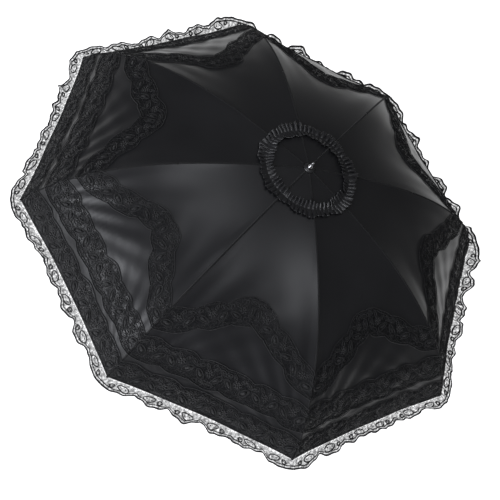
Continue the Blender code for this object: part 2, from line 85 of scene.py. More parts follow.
# The trims, as distances out along the cover
HEM_LACE_MIDDLE = 0.5475
SECOND_LACE_MIDDLE = 0.4765
STAR_PEAK = 0.3275          # the star trim's middle line where it is nearest the crown
STAR_DROP = 0.102           # about how far that line runs outward from its peaks to its valleys
STAR_ROUNDING = 0.10        # how softly it turns at a peak, as a share of the petal's half width
TILES = 3                   # lace repeats from the middle of a gore to its seam
HEM_NET_EDGE = 0.0150       # above this the hem trim hangs free, in a finer net
FAR_SIDE_LONGER = 0.5       # share by which the free lace is longer opposite FLARE_LOW
FREE_EDGE_WAVE = 0.0034     # how far the hem trim's free edge wavers
LACE_LIFT, TULLE_THICKNESS = 0.0004, 0.0001

# The gathered ring, as radii from the shaft's axis
RING_INNER, RING_WIDTH = 0.0720, 0.0275
RING_SEWN, RING_SEWN_RADIUS = 0.47, 0.0850   # its sewn line, as a share of the width and a radius
PLEATS = 8                  # gathers on each petal's part of the ring


def cover_table():
    """Radius, height and slope of the cover along a rib, from the axis to past the hem."""
    step = 0.0005
    s = np.arange(0, COVER_LENGTH + 0.060 + step, step)
    middle = (s[1:] + s[:-1]) / 2
    share = np.minimum(middle / COVER_LENGTH, 1.0)
    slope = SLOPE_AT_CROWN + (SLOPE_AT_HEM - SLOPE_AT_CROWN) * share**2
    r = np.concatenate([[0.0], np.cumsum(step * np.cos(slope))])
    z = np.concatenate([[0.0], -np.cumsum(step * np.sin(slope))])
    return s, r, z


TABLE_S, TABLE_R, TABLE_Z = cover_table()
APEX_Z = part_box("canopy_panel_1")[1][2] - float(np.interp(COVER_HOLE, TABLE_S, TABLE_Z))


def slope_at(s):
    share = np.minimum(np.asarray(s) / COVER_LENGTH, 1.0)
    return SLOPE_AT_CROWN + (SLOPE_AT_HEM - SLOPE_AT_CROWN) * share**2


def smooth(x, low, high):
    """0 below low, 1 above high, eased between."""
    t = np.clip((x - low) / (high - low), 0, 1)
    return t * t * (3 - 2 * t)


def wander(w, rib, waves):
    """A slow waver from -1 to 1 along each gore, different in every gore and still at its seams."""
    gore = np.where(w >= 0, rib, rib - 1) % RIBS
    across = np.where(w >= 0, w / 2, 1 + w / 2)
    calm = smooth(4 * across * (1 - across), 0.0, 0.5)
    turn = 2 * math.pi * waves * across
    return calm * (0.6 * np.sin(turn + 2.1 * gore) + 0.4 * np.sin(2.3 * turn + 3.7 * gore))


def creases(s, w, rib):
    """Small folds in the stretched cloth: fans from a gore's hem corners, long and slanting waves."""
    gore = np.where(w >= 0, rib, rib - 1) % RIBS
    across = np.where(w >= 0, w / 2, 1 + w / 2)
    phase = 2.4 * gore
    off_middle = (across - 0.5) * 2 * half_gore(s)
    inside = smooth(4 * across * (1 - across), 0.0, 0.35)
    fan = 0.0
    for side in (-1, 1):
        beside = half_gore(COVER_LENGTH) - side * off_middle
        inward = COVER_LENGTH - s
        far = np.hypot(beside, inward)
        reach = smooth(far, 0.04, 0.12) * (1 - smooth(far, 0.20, 0.40))
        fan = fan + FAN_DEPTH * reach * np.sin(38 * np.arctan2(beside, inward) + phase + side)
    waves = WAVE_DEPTH * np.sin(48 * off_middle + phase) * smooth(s, 0.10, 0.28)
    slant = SLANT_DEPTH * np.sin(27 * s + 31 * off_middle + 2 * phase) * smooth(s, 0.12, 0.3)
    return inside * (fan + (waves + slant))


def on_cover(s, w, lift=0.0, rib=0):
    """Points on the cover in rib 0's plane frame: x out along the rib, y across, z up."""
    s, w = np.broadcast_arrays(np.asarray(s, float), np.asarray(w, float))
    share = np.clip(np.abs(w), 0, 1) / 2
    dip = 4 * share * (1 - share)
    sag = SAG * dip * smooth(s, 0.05, 0.30)
    off = lift - sag + creases(s, w, rib)
    slope = slope_at(s)
    r = np.interp(s, TABLE_S, TABLE_R) + off * np.sin(slope)
    z = np.interp(s, TABLE_S, TABLE_Z) + off * np.cos(slope) + APEX_Z
    past = np.maximum(s - COVER_LENGTH, 0.0)
    round_at = FIRST_RIB + (rib + w / 2) * SECTOR
    flare = FLARE + FLARE_LEAN * np.cos(round_at - FLARE_LOW) + FLARE_WAVE * wander(w, rib, 3.0)
    flare = flare + 0.5 * FLARE_WAVE * np.sin(6 * math.pi * np.abs(w))
    flare = SLOPE_AT_HEM + (flare - SLOPE_AT_HEM) * smooth(past, 0.0, 0.006)
    r = r + past * (np.cos(flare) - math.cos(SLOPE_AT_HEM))
    z = z - past * (np.sin(flare) - math.sin(SLOPE_AT_HEM))
    x = r * (1 - share * (1 - math.cos(SECTOR)))
    y = np.sign(w) * r * share * math.sin(SECTOR)
    return np.stack([x, y, z], -1)


def turned_to(points, rib):
    """Rib-plane points turned to rib number rib (0 to 7)."""
    a = FIRST_RIB + rib * SECTOR
    c, s = math.cos(a), math.sin(a)
    x, y = points[..., 0], points[..., 1]
    return np.stack([x * c - y * s, x * s + y * c, points[..., 2]], -1)


def half_gore(s):
    """Distance from a seam to the gore's middle line, along the cloth."""
    return np.interp(s, TABLE_S, TABLE_R) * math.sin(SECTOR / 2)


def hem_at(w):
    share = np.abs(w) / 2
    return COVER_LENGTH - HEM_DIP * 4 * share * (1 - share)


# ---------------------------------------------------------------- mesh helpers
def mesh_piece(name, points, faces, material, smooth_shade=True):
    mesh = bpy.data.meshes.new(name)
    mesh.from_pydata([tuple(p) for p in points], [], [tuple(f) for f in faces])
    mesh.materials.append(material)
    if smooth_shade:
        mesh.shade_smooth()
    piece = bpy.data.objects.new(name, mesh)
    bpy.context.collection.objects.link(piece)
    return piece


def two_faced_sheet(name, outer, inner, normals, material, uv=None):
    """A thin closed sheet from matching grids of points.

    normals, where given, holds two grids: for the faces left and right of the middle column.
    """
    rows, columns = outer.shape[0], outer.shape[1]
    count = rows * columns
    grid = np.arange(count).reshape(rows, columns)
    a, b = grid[:-1, :-1].ravel(), grid[1:, :-1].ravel()
    c, d = grid[1:, 1:].ravel(), grid[:-1, 1:].ravel()
    top = np.stack([a, b, c, d], -1)
    under = top[:, ::-1] + count
    rim = np.concatenate([grid[:-1, 0], grid[-1, :-1], grid[:0:-1, -1], grid[0, :0:-1]])
    after = np.roll(rim, -1)
    sides = np.stack([after, rim, rim + count, after + count], -1)
    faces = np.concatenate([top, under, sides])
    piece = mesh_piece(name, np.concatenate([outer.reshape(-1, 3), inner.reshape(-1, 3)]), faces,
                       material)
    if normals is not None:
        left, right = normals
        column = np.tile(np.arange(columns - 1), rows - 1)
        use_right = (column >= (columns - 1) // 2)[:, None, None]
        flat_left, flat_right = left.reshape(-1, 3), right.reshape(-1, 3)
        top_normals = np.where(use_right, flat_right[top], flat_left[top])
        side_normals = np.zeros((len(sides), 4, 3))
        corner = np.concatenate([top_normals, -top_normals[:, ::-1], side_normals])
        piece.data.normals_split_custom_set(corner.reshape(-1, 3).tolist())
    if uv is not None:
        layer = piece.data.uv_layers.new(name="cloth")
        both = np.concatenate([uv.reshape(-1, 2)] * 2)
        layer.data.foreach_set("uv", both[faces.ravel()].astype(np.float32).ravel())
    return piece


def surface_normals(place, s, w):
    """Outward unit normals of a surface place(s, w) on a grid, by small steps."""
    e = 1e-4
    along = place(s + e, w) - place(s - e, w)
    across = place(s, w + e) - place(s, w - e)
    n = np.cross(along, across)
    n /= np.linalg.norm(n, axis=-1, keepdims=True)
    return n


# ---------------------------------------------------------------- finishes
def new_material(name):
    material = bpy.data.materials.new(name)
    material.use_nodes = True
    tree = material.node_tree
    return material, tree, tree.nodes["Principled BSDF"]


def set_inputs(made, values):
    """Sets a node's unlinked inputs, given by socket name."""
    for key, value in values.items():
        made.inputs[key].default_value = value


def node(tree, kind, values=None, **settings):
    """A new node with its inputs set from values and its own properties from settings."""
    made = tree.nodes.new(kind)
    for key, value in settings.items():
        setattr(made, key, value)
    set_inputs(made, values or {})
    return made


def cloth_grain_group():
    """Woven grain: the height of fine crossed threads, and a slow unevenness in tone."""
    group = bpy.data.node_groups.new("cloth_grain", "ShaderNodeTree")
    face = group.interface
    for name, value in (("Threads per metre", 1600.0), ("Unevenness", 0.35)):
        face.new_socket(name, in_out="INPUT", socket_type="NodeSocketFloat").default_value = value
    face.new_socket("Vector", in_out="INPUT", socket_type="NodeSocketVector")
    face.new_socket("Height", in_out="OUTPUT", socket_type="NodeSocketFloat")
    face.new_socket("Mottle", in_out="OUTPUT", socket_type="NodeSocketFloat")
    start = group.nodes.new("NodeGroupInput")
    end = group.nodes.new("NodeGroupOutput")
    link = group.links.new
    split = group.nodes.new("ShaderNodeSeparateXYZ")
    link(start.outputs["Vector"], split.inputs[0])
    waves = []
    for axis in (0, 1):
        scaled = node(group, "ShaderNodeMath", operation="MULTIPLY")
        link(split.outputs[axis], scaled.inputs[0])
        link(start.outputs["Threads per metre"], scaled.inputs[1])
        turned = node(group, "ShaderNodeMath", operation="MULTIPLY")
        turned.inputs[1].default_value = 2 * math.pi
        link(scaled.outputs[0], turned.inputs[0])
        wave = node(group, "ShaderNodeMath", operation="SINE")
        link(turned.outputs[0], wave.inputs[0])
        waves.append(wave)
    both = node(group, "ShaderNodeMath", operation="ADD")
    link(waves[0].outputs[0], both.inputs[0])
    link(waves[1].outputs[0], both.inputs[1])
    link(both.outputs[0], end.inputs["Height"])
    noise = node(group, "ShaderNodeTexNoise", {"Scale": 9.0, "Detail": 4.0})
    link(start.outputs["Vector"], noise.inputs["Vector"])
    weigh = node(group, "ShaderNodeMath", operation="MULTIPLY")
    link(noise.outputs["Fac"], weigh.inputs[0])
    link(start.outputs["Unevenness"], weigh.inputs[1])
    link(weigh.outputs[0], end.inputs["Mottle"])
    return group


GRAIN = cloth_grain_group()


def satin_finish(name, dark, light, roughness, weave):
    """Black satin: a close weave, slight unevenness in tone and gloss, a soft sheen."""
    material, tree, shader = new_material(name)
    link = tree.links.new
    place = node(tree, "ShaderNodeTexCoord")
    grain = node(tree, "ShaderNodeGroup", node_tree=GRAIN)
    set_inputs(grain, {"Threads per metre": weave})
    link(place.outputs["Object"], grain.inputs["Vector"])
    tone = node(tree, "ShaderNodeMapRange", {"From Min": 0.08, "From Max": 0.28})
    link(grain.outputs["Mottle"], tone.inputs["Value"])
    colour = node(tree, "ShaderNodeMix", data_type="RGBA")
    for socket, shade in zip([i for i in colour.inputs if i.type == "RGBA"], (dark, light)):
        socket.default_value = (*shade, 1)
    link(tone.outputs[0], colour.inputs[0])
    link([o for o in colour.outputs if o.type == "RGBA"][0], shader.inputs["Base Color"])
    gloss = node(tree, "ShaderNodeMapRange", {"From Max": 0.35, "To Min": roughness - 0.04,
                                              "To Max": roughness + 0.06})
    link(grain.outputs["Mottle"], gloss.inputs["Value"])
    link(gloss.outputs[0], shader.inputs["Roughness"])
    bump = node(tree, "ShaderNodeBump", {"Strength": 0.02, "Distance": 0.0002})
    link(grain.outputs["Height"], bump.inputs["Height"])
    link(bump.outputs[0], shader.inputs["Normal"])
    set_inputs(shader, {"Sheen Weight": 0.05, "Sheen Roughness": 0.4, "Specular IOR Level": 0.42})
    return material


def thread_finish(name, dark, light, roughness):
    """Spun thread: matt, with a fine unevenness in tone and surface."""
    material, tree, shader = new_material(name)
    link = tree.links.new
    place = node(tree, "ShaderNodeTexCoord")
    noise = node(tree, "ShaderNodeTexNoise", {"Scale": 420.0, "Detail": 3.0})
    link(place.outputs["Object"], noise.inputs["Vector"])
    ramp = node(tree, "ShaderNodeValToRGB")
    ramp.color_ramp.elements[0].position = 0.35
    ramp.color_ramp.elements[0].color = (*dark, 1)
    ramp.color_ramp.elements[1].position = 0.72
    ramp.color_ramp.elements[1].color = (*light, 1)
    link(noise.outputs["Fac"], ramp.inputs["Fac"])
    link(ramp.outputs["Color"], shader.inputs["Base Color"])
    bump = node(tree, "ShaderNodeBump", {"Strength": 0.4, "Distance": 0.0003})
    link(noise.outputs["Fac"], bump.inputs["Height"])
    link(bump.outputs[0], shader.inputs["Normal"])
    set_inputs(shader, {"Roughness": roughness, "Specular IOR Level": 0.35,
                        "Sheen Weight": 0.06, "Sheen Roughness": 0.5})
    return material


def hard_finish(name, colour, roughness, metallic, grain_scale, grain, coat=0.0):
    """Metal, plastic or lacquer: fine grain in gloss and a slight unevenness in colour."""
    material, tree, shader = new_material(name)
    link = tree.links.new
    place = node(tree, "ShaderNodeTexCoord")
    noise = node(tree, "ShaderNodeTexNoise", {"Scale": grain_scale, "Detail": 5.0})
    link(place.outputs["Object"], noise.inputs["Vector"])
    gloss = node(tree, "ShaderNodeMapRange", {"To Min": max(roughness - grain, 0.03),
                                              "To Max": roughness + grain})
    link(noise.outputs["Fac"], gloss.inputs["Value"])
    link(gloss.outputs[0], shader.inputs["Roughness"])
    ramp = node(tree, "ShaderNodeValToRGB")
    ramp.color_ramp.elements[0].color = (*[c * 0.85 for c in colour], 1)
    ramp.color_ramp.elements[1].color = (*[min(c * 1.12, 1) for c in colour], 1)
    link(noise.outputs["Fac"], ramp.inputs["Fac"])
    link(ramp.outputs["Color"], shader.inputs["Base Color"])
    bump = node(tree, "ShaderNodeBump", {"Strength": 0.06, "Distance": 0.0002})
    link(noise.outputs["Fac"], bump.inputs["Height"])
    link(bump.outputs[0], shader.inputs["Normal"])
    set_inputs(shader, {"Metallic": metallic, "Coat Weight": coat, "Coat Roughness": 0.08})
    return material


def tulle_finish(name, colour, cover, free_cover):
    """Sheer ground: a haze of hair-fine net that hides the share cover of what is behind it.

    Past HEM_NET_EDGE on the trim it hides the share free_cover.
    """
    material, tree, shader = new_material(name)
    link = tree.links.new
    place = node(tree, "ShaderNodeUVMap", uv_map="cloth")
    noise = node(tree, "ShaderNodeTexNoise", {"Scale": 170.0})
    link(place.outputs["UV"], noise.inputs["Vector"])
    patchy = node(tree, "ShaderNodeMapRange", {"From Min": 0.35, "From Max": 0.65,
                                               "To Min": 0.4, "To Max": 1.6})
    link(noise.outputs["Fac"], patchy.inputs["Value"])
    split = node(tree, "ShaderNodeSeparateXYZ")
    link(place.outputs["UV"], split.inputs["Vector"])
    closeness = node(tree, "ShaderNodeMapRange",
                     {"From Min": HEM_NET_EDGE - 0.004, "From Max": HEM_NET_EDGE,
                      "To Min": cover, "To Max": free_cover})
    link(split.outputs["Y"], closeness.inputs["Value"])
    alpha = node(tree, "ShaderNodeMath", operation="MULTIPLY")
    link(patchy.outputs[0], alpha.inputs[0])
    link(closeness.outputs[0], alpha.inputs[1])
    link(alpha.outputs[0], shader.inputs["Alpha"])
    set_inputs(shader, {"Base Color": (*colour, 1), "Roughness": 0.9, "Specular IOR Level": 0.1})
    return material


SATIN = satin_finish("cover_satin", (0.0060, 0.0060, 0.0070), (0.0095, 0.0095, 0.0110), 0.36, 1500.0)
RUFFLE_SATIN = satin_finish("ruffle_satin", (0.008, 0.008, 0.009), (0.015, 0.015, 0.017), 0.34, 1800.0)
# The seam welt is a real raised seam. Its thread is darker than the cover satin as painted shade,
# standing for the shadow in the seam's gap.
WELT_WITH_PAINTED_SHADE = thread_finish("seam_welt", (0.001, 0.001, 0.0012), (0.004, 0.004, 0.005), 0.85)
NET = thread_finish("lace_thread", (0.003, 0.003, 0.0035), (0.012, 0.012, 0.014), 0.70)
BLOOM = thread_finish("lace_blossom", (0.003, 0.003, 0.0035), (0.011, 0.011, 0.013), 0.60)
STITCH = thread_finish("sewing_thread", (0.010, 0.010, 0.011), (0.030, 0.030, 0.034), 0.55)
TULLE = tulle_finish("tulle_ground", (0.003, 0.003, 0.004), 0.09, 0.09)
FREE_TULLE = tulle_finish("hem_tulle_ground", (0.003, 0.003, 0.004), 0.09, 0.34)
STEEL = hard_finish("frame_steel", (0.42, 0.42, 0.44), 0.30, 1.0, 240.0, 0.08)
PLASTIC = hard_finish("black_plastic", (0.016, 0.016, 0.017), 0.34, 0.0, 600.0, 0.06)
GLASS_ROD = hard_finish("rod_fibreglass", (0.022, 0.022, 0.024), 0.36, 0.0, 300.0, 0.08)
LACQUER = hard_finish("handle_lacquer", (0.012, 0.010, 0.010), 0.22, 0.0, 60.0, 0.06, 0.6)
BRIGHT = hard_finish("bright_metal", (0.30, 0.30, 0.31), 0.20, 1.0, 300.0, 0.05)


# ---------------------------------------------------------------- the satin cover
def split_at(w):
    """Where the cloth crosses from the inner ribs to the rods: straight above the rivet."""
    share = np.clip(np.abs(w), 0, 1) / 2
    return np.interp(RIVET_RADIUS_OUT / (1 - share * (1 - math.cos(SECTOR))), TABLE_R, TABLE_S)


def petal(rib, outer_part):
    """One petal's cloth from the crown to the joint line, or from there to the hem."""
    w = np.linspace(-1, 1, 41)
    rows = 44 if outer_part else 34
    share = np.linspace(0, 1, rows)[:, None]
    cut = split_at(w)[None, :]
    if outer_part:
        s = cut + (hem_at(w)[None, :] - cut) * share
    else:
        s = COVER_HOLE + 0.002 + (cut - COVER_HOLE - 0.002) * share
    w = np.broadcast_to(w[None, :], s.shape)
    step = 2e-4

    def place(s, w):
        return turned_to(on_cover(s, w, 0.0, rib), rib)

    right = surface_normals(place, s, np.clip(w, step, 1 - step))
    left = surface_normals(place, s, np.clip(w, -1 + step, -step))
    outer = place(s, w)
    mean = left + right
    mean /= np.linalg.norm(mean, axis=-1, keepdims=True)
    facing = np.where((w > 0)[..., None], right, np.where((w < 0)[..., None], left, mean))
    uv = np.stack([w * half_gore(s), s], -1)
    name = f"cover_{'outer' if outer_part else 'inner'}_{rib + 1}"
    piece = two_faced_sheet(name, outer, outer - CLOTH * facing, (left, right), SATIN, uv)
    area = 2 * float(np.trapz(half_gore(s[:, 20]), s[:, 20]))
    width = 2 * float(half_gore(s.max()))
    length = float(s.max() - s.min())
    return piece, width, length, area


def sew(piece, rib, outer_part, keep=None):
    """Puts a soft piece on its rib or its rod, to ride it, and gives it a mesh of its own."""
    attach(piece, f"{'rod' if outer_part else 'rib'}_{rib + 1}")
    keep = keep or (PETAL_KEEP if outer_part else CROWN_KEEP)
    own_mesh(piece)


def tube_faces(rings, sides, closed_path=False, base=0):
    """Quads and end caps of a tube whose rings of vertices follow each other from base."""
    faces = []
    for i in range(rings - (0 if closed_path else 1)):
        near, far = base + i * sides, base + ((i + 1) % rings) * sides
        for j in range(sides):
            k = (j + 1) % sides
            faces.append((near + j, near + k, far + k, far + j))
    if not closed_path:
        faces.append(tuple(base + j for j in reversed(range(sides))))
        faces.append(tuple(base + (rings - 1) * sides + j for j in range(sides)))
    return faces


def seam(rib, outer_part):
    """The raised welt where two gores are sewn together, over the rib, in a finish darker than the
    cover: painted shade for the seam's gap.
    """
    start, end = (RIB_SPLIT, COVER_LENGTH + 0.001) if outer_part else (0.012, RIB_SPLIT)
    s = np.linspace(start, end, 60)
    points = []
    for i, across in enumerate((-0.0022, -0.0014, 0.0, 0.0014, 0.0022, 0.0)):
        lift = (0.0002, 0.0009, 0.0012, 0.0009, 0.0002, -0.0002)[i]
        lift = lift + 0.00012 * np.sin(s * 700 + i)
        points.append(on_cover(s, across / half_gore(s), lift, rib))
    rings = turned_to(np.stack(points, 1), rib)
    name = f"seam_{'outer' if outer_part else 'inner'}_{rib + 1}"
    piece = mesh_piece(name, rings.reshape(-1, 3), tube_faces(60, 6), WELT_WITH_PAINTED_SHADE)
    return piece


RIB_SPLIT = float(split_at(0.0))
for rib in range(RIBS):
    for outer_part in (False, True):
        welt = seam(rib, outer_part)
        sew(welt, rib, outer_part)
        cloth, width, length, area = petal(rib, outer_part)
        sew(cloth, rib, outer_part)
        if outer_part:
            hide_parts(f"canopy_panel_{rib + 1}")


# ---------------------------------------------------------------- the gathered crown ring
def cover_place(radius, angle):
    """The cover's s and w below a radius from the axis and an angle from the petal's rib."""
    x, y = radius * np.cos(angle), radius * np.sin(angle)
    r = x + np.abs(y) * (1 - math.cos(SECTOR)) / math.sin(SECTOR)
    return np.interp(r, TABLE_R, TABLE_S), 2 * y / (r * math.sin(SECTOR))


def ruffle(rib):
    """One eighth of the gathered ring: two frills either side of the stitched line."""
    columns, rows = 97, 19
    angle = np.linspace(-SECTOR / 2, SECTOR / 2, columns)[None, :]
    across = np.linspace(0, 1, rows)[:, None]
    around = angle + FIRST_RIB + rib * SECTOR
    pleat = PLEATS * RIBS * around + 0.9 * np.sin(5 * around) + 0.6 * np.sin(11 * around + 1)
    from_sewn = across - RING_SEWN
    frill = np.abs(from_sewn) / (1 - RING_SEWN)
    wave = np.cos(pleat + 1.1 * from_sewn * np.sin(3 * around))
    wave = wave + 0.25 * np.cos(2 * pleat + 1.7 + 2 * across)
    ragged = 0.0022 * np.sin(7 * around) + 0.0016 * np.sin(19 * around + 2)
    radius = RING_INNER + RING_WIDTH * across + from_sewn * 2 * (ragged + 0.0014 * wave)
    depth = 0.0030 + 0.0012 * np.sin(9 * around + 1) + 0.0008 * np.sin(23 * around)
    lift = 0.0016 + 0.0050 * frill**0.8 * (1 - 0.25 * frill) + depth * frill**0.7 * wave
    turn = angle + 0.10 * frill * (SECTOR / PLEATS) * np.sin(pleat)
    ends = smooth(np.abs(angle), SECTOR / 2 * 0.94, SECTOR / 2)
    turn = turn * (1 - ends) + angle * ends
    s, w = cover_place(radius, turn)
    top = turned_to(on_cover(s, w, lift, rib), rib)
    under = turned_to(on_cover(s, w, lift - CLOTH, rib), rib)
    piece = two_faced_sheet(f"crown_ruffle_{rib + 1}", top, under, None, RUFFLE_SATIN)
    return piece


def ruffle_stitches(rib):
    """The sewn line that gathers the ring: short stitches, three-sided and lying flat."""
    verts, faces = [], []
    count = 14
    for i in range(count):
        a = (i + 0.5) / count * SECTOR - SECTOR / 2
        for da in (-0.34, 0.34):
            for dr, dz in ((-0.0004, 0.0018), (0.0, 0.0022), (0.0004, 0.0018)):
                s, w = cover_place(RING_SEWN_RADIUS + dr, a + da * SECTOR / count)
                verts.append(on_cover(s, w, dz, rib))
        faces += tube_faces(2, 3, base=i * 6)
    points = turned_to(np.array(verts).reshape(-1, 3), rib)
    return mesh_piece(f"ruffle_stitches_{rib + 1}", points, faces, STITCH)


for rib in range(RIBS):
    ring, sewn = ruffle(rib), ruffle_stitches(rib)
    for piece in (ring, sewn):
        sew(piece, rib, False, RUFFLE_KEEP)
    if rib == 0:
        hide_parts("crown_ruffle")


# ---------------------------------------------------------------- lace, laid out flat
TILE_WIDTH = 0.060
CELL = TILE_WIDTH / 8
NET_THREAD = 0.00029        # threads and cords by radius
FINE_THREAD = 0.00027
EDGE_CORD, EDGE_GAP = 0.00090, 0.0042


class Work:
    """Collects the cords and filled shapes of one lace repeat."""

    def __init__(self):
        self.verts, self.faces = [], []

    def cord(self, points, radius, sides=3, closed=False, height=0.0):
        """A round thread through flat points (x, y)."""
        base, count = len(self.verts), len(points)
        for i, (x, y) in enumerate(points):
            before = points[i - 1] if (i or closed) else points[i]
            after = points[(i + 1) % count] if (i < count - 1 or closed) else points[i]
            dx, dy = after[0] - before[0], after[1] - before[1]
            long = math.hypot(dx, dy) or 1.0
            nx, ny = -dy / long, dx / long
            for j in range(sides):
                a = 2 * math.pi * j / sides + math.pi / 2
                side, up = radius * math.cos(a), radius * math.sin(a)
                self.verts.append((x + nx * side, y + ny * side, height + radius + up))
        self.faces += tube_faces(count, sides, closed, base)

    def pad(self, x, y, long, wide, lean, height=0.0009, sides=8, tip=0.0):
        """A filled petal or leaf: a low dome on a pointed oval."""
        base = len(self.verts)
        c, s = math.cos(lean), math.sin(lean)
        for j in range(sides):
            a = 2 * math.pi * j / sides
            u, v = long / 2 * math.cos(a), wide / 2 * math.sin(a) * (1 - tip * math.cos(a))
            self.verts.append((x + u * c - v * s, y + u * s + v * c, 0.0002))
        self.verts.append((x, y, height))
        self.verts.append((x, y, 0.0))
        for j in range(sides):
            k = (j + 1) % sides
            self.faces.append((base + j, base + k, base + sides))
            self.faces.append((base + k, base + j, base + sides + 1))


# For each trim: its width, and how deep its outer and inner scallops are.
LACE = {"hem": (0.070, 0.0080, 0.0045), "band": (0.056, 0.0050, 0.0060),
        "star": (0.054, 0.0060, 0.0060)}


def scallop(x, depth):
    return depth * (2 * x / TILE_WIDTH - 1) ** 2


def rims(kind):
    """The outer and inner edges of a trim's repeat, as heights above its middle line."""
    width, outer_depth, inner_depth = LACE[kind]
    return (lambda x: width / 2 - scallop(x, outer_depth),
            lambda x: -width / 2 + scallop(x, inner_depth))


def oval(x, y, long, wide, lean, count=16, share=1.0):
    """A closed pointed oval."""
    c, s = math.cos(lean), math.sin(lean)
    points = []
    for k in range(count):
        a = 2 * math.pi * k / count
        u = share * long / 2 * math.cos(a)
        v = share * wide / 2 * math.sin(a) * (1 - 0.22 * math.cos(a))
        points.append((x + u * c - v * s, y + u * s + v * c))
    return points


def leaf(net, bloom, x, y, long, wide, lean):
    """A close-worked leaf: a filled heart, three rungs across it and two outline cords."""
    bloom.pad(x, y, long * 0.62, wide * 0.56, lean, 0.0008, 10, 0.22)
    bloom.cord(oval(x, y, long, wide, lean), 0.0008, 4, True)
    net.cord(oval(x, y, long, wide, lean, 14, 0.80), 0.0004, 3, True)
    c, s = math.cos(lean), math.sin(lean)
    for k in (-2, 0, 2):
        u, v = 0.13 * k * long, 0.46 * wide
        net.cord([(x + u * c - v * s, y + u * s + v * c), (x + (u + 0.002) * c + v * s,
                                                          y + (u + 0.002) * s - v * c)], 0.0004)


def rose(net, bloom, x, y, size):
    """A round blossom: seven petals, a filled eye and a ring of cord."""
    for k in range(7):
        a = 2 * math.pi * k / 7 + 0.3
        bloom.pad(x + 0.56 * size * math.cos(a), y + 0.56 * size * math.sin(a), 0.72 * size,
                  0.46 * size, a, 0.0010, 8, -0.3)
    bloom.pad(x, y, 0.5 * size, 0.5 * size, 0.0, 0.0013, 8)
    net.cord(oval(x, y, 2 * size, 2 * size, 0.0, 18), 0.0005, 3, True)


def net_ground(net, kind, outer, inner):
    """A six-sided net between the two edges, finer where the hem trim hangs free."""
    side = CELL / math.sqrt(3)
    rows = int(LACE[kind][0] / (1.5 * side)) + 3
    for j in range(-rows // 2, rows // 2 + 1):
        for i in range(-1, 9):
            cx, cy = (i + 0.5 * (j % 2)) * CELL, j * 1.5 * side
            corners = [(cx + side * math.cos(a), cy + side * math.sin(a))
                       for a in (math.radians(90 + 60 * k) for k in range(6))]
            for p, q in zip(corners[:3], corners[1:4]):
                mx, my = (p[0] + q[0]) / 2, (p[1] + q[1]) / 2
                if not -1e-6 <= mx <= TILE_WIDTH + 1e-6:
                    continue
                free = kind == "hem" and my > HEM_NET_EDGE
                if inner(mx) + 0.001 < my < outer(mx) - 0.001:
                    net.cord([p, q], FINE_THREAD if free else NET_THREAD)


def edge_cords(net, bloom, kind, outer, inner):
    """Two scalloped cords along each edge, with bars between them."""
    xs = np.linspace(0, TILE_WIDTH, 25)
    for rim, sign in ((outer, -1), (inner, 1)):
        heavy = 1.75 if kind == "hem" and sign < 0 else 1.0
        bloom.cord([(x, rim(x)) for x in xs], heavy * EDGE_CORD, 4)
        net.cord([(x, rim(x) + sign * EDGE_GAP) for x in xs], heavy * 0.0006, 3)
        for x in xs[2::4]:
            net.cord([(x, rim(x)), (x, rim(x) + sign * EDGE_GAP)], 0.0005)


def spray(net, bloom, kind):
    """A blossom in the repeat's middle, between three leaves and a stem on either side."""
    low = -0.008 if kind == "hem" else 0.0
    rose(net, bloom, TILE_WIDTH / 2, low - 0.004, 0.0090)
    for way, x in ((1, 0.0), (-1, TILE_WIDTH)):
        leaf(net, bloom, x + way * 0.0125, low + 0.0040, 0.0240, 0.0115, way * 0.75)
        leaf(net, bloom, x + way * 0.0070, low - 0.0130, 0.0150, 0.0075, -way * 0.45)
        leaf(net, bloom, x + way * 0.0205, low - 0.0150, 0.0120, 0.0060, way * 0.9)
        stem = [(x + way * d, low + 0.0150 + 0.0030 * math.sin(d * 210)) for d in
                np.linspace(0.002, 0.022, 9)]
        bloom.cord(stem, 0.0006, 3)


def edge_rings(bloom, kind, top):
    """A large and a small ring of cord inside the outer edge, each with two dots."""
    thread = 0.0013 if kind == "hem" else 0.0006
    for x, y, long, wide in ((0.40, 0.0115, 0.0220, 0.0110), (0.72, 0.0110, 0.0085, 0.0070)):
        bloom.cord(oval(x * TILE_WIDTH, top - y, long, wide, -0.25, 14), thread, 3, True)
        for step in (-0.2, 0.2):
            bloom.pad(x * TILE_WIDTH + step * long, top - y, 0.0030, 0.0024, 0.0, 0.0010, 6)


def lace_tile(kind):
    """One repeat of a trim as two objects: its fine net, and its heavier cords and flowers."""
    net, bloom = Work(), Work()
    outer, inner = rims(kind)
    net_ground(net, kind, outer, inner)
    edge_cords(net, bloom, kind, outer, inner)
    spray(net, bloom, kind)
    edge_rings(bloom, kind, outer(TILE_WIDTH / 2))
    tiles = []
    for work, what, material in ((net, "net", NET), (bloom, "bloom", BLOOM)):
        mesh = bpy.data.meshes.new(f"{kind}_{what}_tile")
        mesh.from_pydata(work.verts, [], work.faces)
        mesh.materials.append(material)
        tile = bpy.data.objects.new(mesh.name, mesh)
        tiles.append((tile, material))
    return tiles


